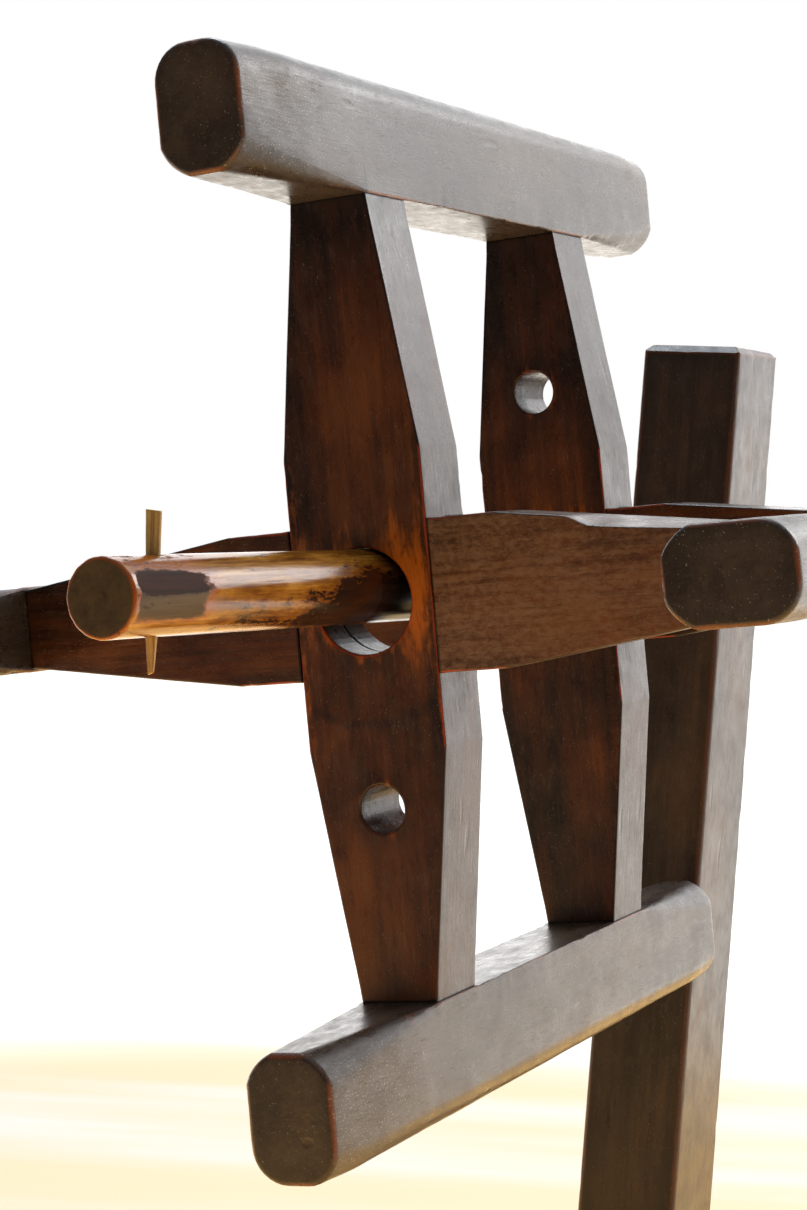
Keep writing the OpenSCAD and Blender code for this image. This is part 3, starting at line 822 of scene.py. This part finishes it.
carved("post", POST, "stand", STAND_WOOD, 61, keep=post_fit, knocked_from=POST_TOP - 8 * MM,
       round_by=lambda p: (0.6 if p.z > POST_TOP else 1.2) * MM)
carved("post_wedges", POST, "stand", WEDGE_WOOD, 62, round_by=0.1 * MM, wave=0.05 * MM, nick=0)
for name, seed, grain in (("base_beam", 63, (0, 2, 1)), ("front_foot", 64, (1, 2, 0)),
                          ("rear_foot", 65, (1, 2, 0))):
    carved(name, BASE, "stand", STAND_WOOD, seed, grain=grain, round_by=0.8 * MM, step=8 * MM)
carved("foot_pegs", BASE, "stand", WEDGE_WOOD, 66, round_by=0.4 * MM, wave=0, nick=0)
carved("axle_wedge", AXLE, "stand", WEDGE_WOOD, 67, grain=(0, 2, 1), round_by=0.1 * MM,
       wave=0.05 * MM, nick=0)

# ---- axle ----

FACETS = 15
AXLE_POINTS = 96
AXLE_RINGS = 240
AXLE_RIM = 1.4 * MM
# Where its stains, its painted shade and its lacquer begin and end, from the tip
LACQUER_WORN_TO = 49 * MM
SHADE_LINE_STARTS, SHADE_LINE_ENDS = (45 * MM, 80 * MM), (140 * MM, 170 * MM)
STAIN_STARTS, STAIN_RISES = (85 * MM, 160 * MM), (138 * MM, 156 * MM)
SHADE_STARTS = (176 * MM, 200 * MM)
REEL_STARTS, REEL_ENDS = (190 * MM, 205 * MM), (530 * MM, 552 * MM)
SHADED_AXLE_STARTS = -10 * MM  # in the axle's own frame, where the hub is at 0


def axle_radius(s):
    return AXLE_TIP_R + (AXLE_TAIL_R - AXLE_TIP_R) * s / AXLE_LEN


def axle_ring(s, shrink=1.0, inset=0.0):
    """Whittled section of the axle at a distance from its tip: soft flats that wander."""
    turn = np.linspace(0, 2 * math.pi, AXLE_POINTS, endpoint=False)
    radius = axle_radius(s)
    total = np.zeros(AXLE_POINTS)
    power = 130  # the higher, the sharper the edges between the flats
    for i in range(FACETS):
        wander = noise.noise(Vector((s / 0.09, i * 3.7, 1.3)))
        facing = (i + 0.25 * math.sin(i * 12.9) + 0.22 * wander) * 2 * math.pi / FACETS
        deep = noise.noise(Vector((s / 0.055, i * 5.1, 7.7)))
        flat = radius * (0.990 + 0.008 * deep)
        total += np.clip(np.cos(turn - facing) / flat * radius, 0, None) ** power
    r = np.minimum(radius * total ** (-1 / power), radius - 0.02 * MM)
    r = (r - inset) * shrink
    return [(a * math.cos(t), s - AXLE_REACH, a * math.sin(t)) for a, t in zip(r, turn)]


def axle():
    rim = AXLE_RIM
    rings = [axle_ring(0, k, rim) for k in (0.1, 0.25, 0.4, 0.55, 0.7, 0.85)]
    rings += [axle_ring(rim * (1 - math.cos(t)), 1, rim * (1 - math.sin(t))) for t in BENDS]
    rings += [axle_ring(s) for s in np.linspace(rim, AXLE_LEN - rim, AXLE_RINGS)[1:-1]]
    rings += [axle_ring(AXLE_LEN - rim * (1 - math.cos(t)), 1, rim * (1 - math.sin(t)))
              for t in BENDS[::-1]]
    rings += [axle_ring(AXLE_LEN, k, rim) for k in (0.75, 0.5, 0.25)]
    bm = loft(rings)
    bm = cut_pin_slot(bm)
    bm = cut_wedge_slot(bm)
    points = points_of(bm)
    s = points[:, 1] + AXLE_REACH
    turn = np.degrees(np.arctan2(points[:, 2], points[:, 0]))  # 0 faces +X, 90 faces up
    r = np.hypot(points[:, 0], points[:, 2])
    side = smoothstep(-165, -140, turn) * (1 - smoothstep(140, 165, turn))
    # Stain left on the lower right side near the hub, reaching higher close to it
    upper = -4 + 32 * smoothstep(*STAIN_RISES, s)
    stain_and_shade = smoothstep(upper + 34, upper - 34, turn) * smoothstep(-100, -58, turn)
    stain_and_shade *= smoothstep(*STAIN_STARTS, s) * side
    # Dark stain along the part inside the reel, where hands do not rub it off; inside the bore it is also painted
    # shade
    reel_stain_and_shade = smoothstep(*REEL_STARTS, s) * (1 - smoothstep(*REEL_ENDS, s))
    stain_and_shade = np.maximum(stain_and_shade, 0.9 * reel_stain_and_shade)
    # Painted shadow on the axle where it goes into the bore
    shade = smoothstep(*SHADE_STARTS, s) * smoothstep(-62, -50, turn) * side
    # A darker band along the lower right side, from near the tip towards the hub: painted shade, put in the same
    # field as the stain
    line = smoothstep(2, -16, turn) * smoothstep(-80, -50, turn) * smoothstep(*SHADE_LINE_STARTS, s)
    stain_and_shade = np.maximum(stain_and_shade, 0.44 * line * (1 - smoothstep(*SHADE_LINE_ENDS, s)))
    # Old lacquer from the tip on, as far as the hand has not worn it off
    worn_to = LACQUER_WORN_TO + 6 * MM * smoothstep(10, 80, turn)
    left = smoothstep(11 * MM, -11 * MM, s - worn_to) * smoothstep(0, 5 * MM, s)
    lacquer = left * smoothstep(-3, 17, turn) * (1 - smoothstep(28, 60, turn))
    lacquer = np.maximum(lacquer, 0.36 * left * smoothstep(40, 60, turn) * side)
    film = left * smoothstep(-40, -16, turn) * (1 - smoothstep(4, 24, turn))
    on_end = (s < 0.4 * MM) * smoothstep(14.4 * MM, 13.4 * MM, r)
    film = np.maximum(film * (1 - on_end), on_end)
    lacquer = lacquer * (1 - on_end)
    gap = np.hypot(s, np.minimum(AXLE_TIP_R - 0.4 * MM - r, 0)) + 0.2 * MM
    gap = np.where(s < 0.3 * MM, np.abs(r - AXLE_TIP_R), gap)
    # From just before the reel to the post the axle gets the copy with almost no reflection, as painted shade
    for face in bm.faces:
        face.material_index = int(SHADED_AXLE_STARTS < face.calc_center_median().y < POST_OFFSET.y)
    obj = piece("axle", bm, AXLE, "stand", AXLE_WOOD, gap, grain=(0, 2, 1), seed=71,
                extra={"stain_and_shade": stain_and_shade, "lacquer": lacquer, "film": film, "shade": shade})
    obj.data.materials.append(SHADED_AXLE_WOOD)


def cut_pin_slot(bm):
    """A straight slot, as wide as the pin's head."""
    half = Vector((PIN_HALF_WIDTHS[-1] * MM, PIN_SLOT_HALF_DEPTH, 2 * AXLE_TIP_R))
    there = AXLE.inverted() @ PIN
    bm.transform(there.inverted())
    bm = cut_box(bm, -half, half)
    bm.transform(there)
    return bm


def cut_wedge_slot(bm):
    """Saw kerf in the tail, opened by its wedge."""
    wide, half = 2 * AXLE_TIP_R, 1.5 * MM
    return cut_box(bm, (-wide, AXLE_BACK - 40 * MM, -half), (wide, AXLE_BACK + 10 * MM, half))


axle()

# ---- pin ----

PIN_POINTS = 40
PIN_RINGS = 70


def pin():
    """A split of bamboo: flat sides, one skin side slightly round, the foot whittled thin."""
    top, foot = PIN_TOP, PIN_FOOT
    power = 5.0  # of a section between an ellipse and a rectangle
    rings = []
    levels = [(top - 0.02 * MM, 0.25, 0.5), (top - 0.02 * MM, 0.25, 0.9), (top - 0.1 * MM, 0.1, 1)]
    levels += [(z, 0, 1) for z in np.linspace(top - 0.3 * MM, foot + 0.3 * MM, PIN_RINGS)]
    levels += [(foot + 0.05 * MM, 0.15, 1), (foot, 0.3, 0.5)]
    for z, inset, shrink in levels:
        half = np.interp(z, PIN_LEVELS, PIN_HALF_WIDTHS) - inset
        deep = np.interp(z, PIN_LEVELS, PIN_HALF_DEPTHS) - 0.6 * inset
        ring = []
        for t in np.linspace(0, 2 * math.pi, PIN_POINTS, endpoint=False):
            c, s = math.cos(t), math.sin(t)
            k = (abs(c) ** power + abs(s) ** power) ** (-1 / power)
            x, y = half * c * k * shrink, deep * s * k * shrink
            y *= 1 - 0.12 * (x / half) ** 2
            ridge = 0.07 * noise.noise(Vector((x * 2.4, y * 2.4, 3.3)))
            x -= ridge * c - 0.10 * noise.noise(Vector((z / (9 * MM), 5, 1)))
            lift = -0.5 * (x / half + 1) / 2 if z > top - MM else 0
            lift += 0.9 * (x / half + 1) / 2 if z < foot + MM else 0
            ring.append((x * MM, (y - ridge * s) * MM, z + lift * MM))
        rings.append(ring)
    bm = loft(rings)
    points = points_of(bm)
    half = np.interp(points[:, 2], PIN_LEVELS, PIN_HALF_WIDTHS) * MM
    gap = np.maximum(half - np.abs(points[:, 0]), 0)
    piece("retaining_pin", bm, PIN, "pin", BAMBOO, gap, seed=81)


pin()

# ---- stage, light, camera ----

FLOOR_R = 6.0
FLOOR_FADES = (0.95, 1.25)  # distances from the middle
ROOM_DIMS = (-1.25, -0.6)  # Y, in front of the object
BLACK, WHITE = (0, 0, 0, 1), (1, 1, 1, 1)
CAMERA_FROM_HUB = Vector((0.4704, -0.9366, 0.0849))
CAMERA_YAW, CAMERA_PITCH, CAMERA_ROLL = (math.radians(a) for a in (25.743, -4.667, 2.752))
LENS_MM, SENSOR_MM = 75.03, 36


def floor():
    """A pale floor round the object that fades to white."""
    bm = bmesh.new()
    bmesh.ops.create_circle(bm, segments=96, radius=FLOOR_R, cap_ends=True)
    mesh = bpy.data.meshes.new("floor")
    bm.to_mesh(mesh)
    bm.free()
    s = Shader("floor", Emission_Strength=1.0, Specular_IOR_Level=0.2)
    position = s.add("TexCoord", {}, "Object")
    distance = s.add("VectorMath", {0: position}, "Value", operation="LENGTH")
    along = s.add("VectorRotate", {"Vector": position, "Angle": -math.radians(25)},
                  rotation_type="Z_AXIS")
    soft = s.noise(s.stretch(along, (0.3, 3.0, 1)), 3, 3, 0.5)
    board = s.mix(s.remap(soft, 0.35, 0.7), (0.80, 0.66, 0.41, 1), (0.83, 0.76, 0.66, 1))
    fade = s.remap(distance, *FLOOR_FADES)
    shown = s.mix(fade, board, (0.90, 0.90, 0.88, 1))
    # The camera overexposes the floor. What the object receives from it is warm, and less
    # from the side where the room is dim
    given = s.mix(fade, (0.95, 0.60, 0.24, 1), (0.95, 0.88, 0.78, 1))
    dim = s.remap(s.add("SeparateXYZ", {0: position}, "Y"), *ROOM_DIMS, 0.9, 0.0)
    given = s.mix(dim, given, (0.05, 0.035, 0.02, 1))
    seen = s.add("LightPath", {}, "Is Camera Ray")
    colour = s.mix(seen, given, shown)
    glare = s.mix(fade, (1.1, 0.66, 0.20, 1), (1.5, 1.40, 1.25, 1))
    glare = s.mix(dim, glare, BLACK)
    glare = s.mix(seen, glare, s.mix(fade, BLACK, (0.4, 0.4, 0.4, 1)))
    s.put(s.bsdf.inputs["Emission Color"], glare)
    s.finish(colour, s.remap(soft, 0.3, 0.7, 0.55, 0.7), s.bump(soft, 0.5 * MM, 0.2))
    mesh.materials.append(s.material)
    obj = bpy.data.objects.new("floor", mesh)
    bpy.context.scene.collection.objects.link(obj)


def light_all_round():
    """A bright white room behind the object, dimmer in front of it; the backdrop shows white."""
    world = bpy.data.worlds.new("studio")
    bpy.context.scene.world = world
    world.use_nodes = True
    s = Shader.__new__(Shader)
    s.tree = world.node_tree
    background = s.tree.nodes["Background"]
    direction = s.add("TexCoord", {}, "Generated")
    y, z = (s.add("SeparateXYZ", {0: direction}, axis) for axis in "YZ")
    behind = s.remap(y, -0.10, 1.0, 0.09, 3.05)
    above = s.remap(z, 0.25, 0.95, 0.0, 0.35)
    behind = s.math("MULTIPLY", behind, s.remap(z, 0.0, 0.35, 1.0, 0.72))
    strength = s.math("ADD", behind, above)
    seen = s.add("LightPath", {}, "Is Camera Ray")
    strength = s.total((strength, s.math("SUBTRACT", 1.0, seen)), seen)
    tint = s.mix(s.remap(z, 0.0, 0.9), (1.0, 0.98, 0.96, 1), (0.86, 0.93, 1.0, 1))
    s.put(background.inputs["Color"], s.mix(seen, tint, WHITE))
    s.put(background.inputs["Strength"], strength)


def soft_light(name, at, size, power, colour=(1, 1, 1)):
    """A round lamp that shines at the hub."""
    data = bpy.data.lights.new(name, "AREA")
    data.shape, data.size, data.energy, data.color = "DISK", size, power, colour
    lamp = bpy.data.objects.new(name, data)
    lamp.location = at
    lamp.rotation_euler = (HUB - at).to_track_quat("-Z", "Y").to_euler()
    bpy.context.scene.collection.objects.link(lamp)


def camera():
    """Stands to the right of the reel's front, a little above its hub, rolled slightly."""
    data = bpy.data.cameras.new("camera")
    data.lens, data.sensor_width = LENS_MM, SENSOR_MM
    cam = bpy.data.objects.new("camera", data)
    aim = turned(CAMERA_YAW, "Z") @ turned(math.pi / 2 + CAMERA_PITCH, "X")
    aim = aim @ turned(CAMERA_ROLL, "Z")
    cam.matrix_world = shifted(HUB + CAMERA_FROM_HUB) @ aim
    bpy.context.scene.collection.objects.link(cam)
    bpy.context.scene.camera = cam


floor()
light_all_round()
soft_light("back_light", Vector((1.2, 1.8, 1.9)), size=1.2, power=30)
soft_light("skylight", HUB + Vector((-0.6, 0.7, 1.75)), size=0.8, power=20,
           colour=(0.84, 0.92, 1.0))
camera()
bpy.context.scene.view_settings.view_transform = "Standard"
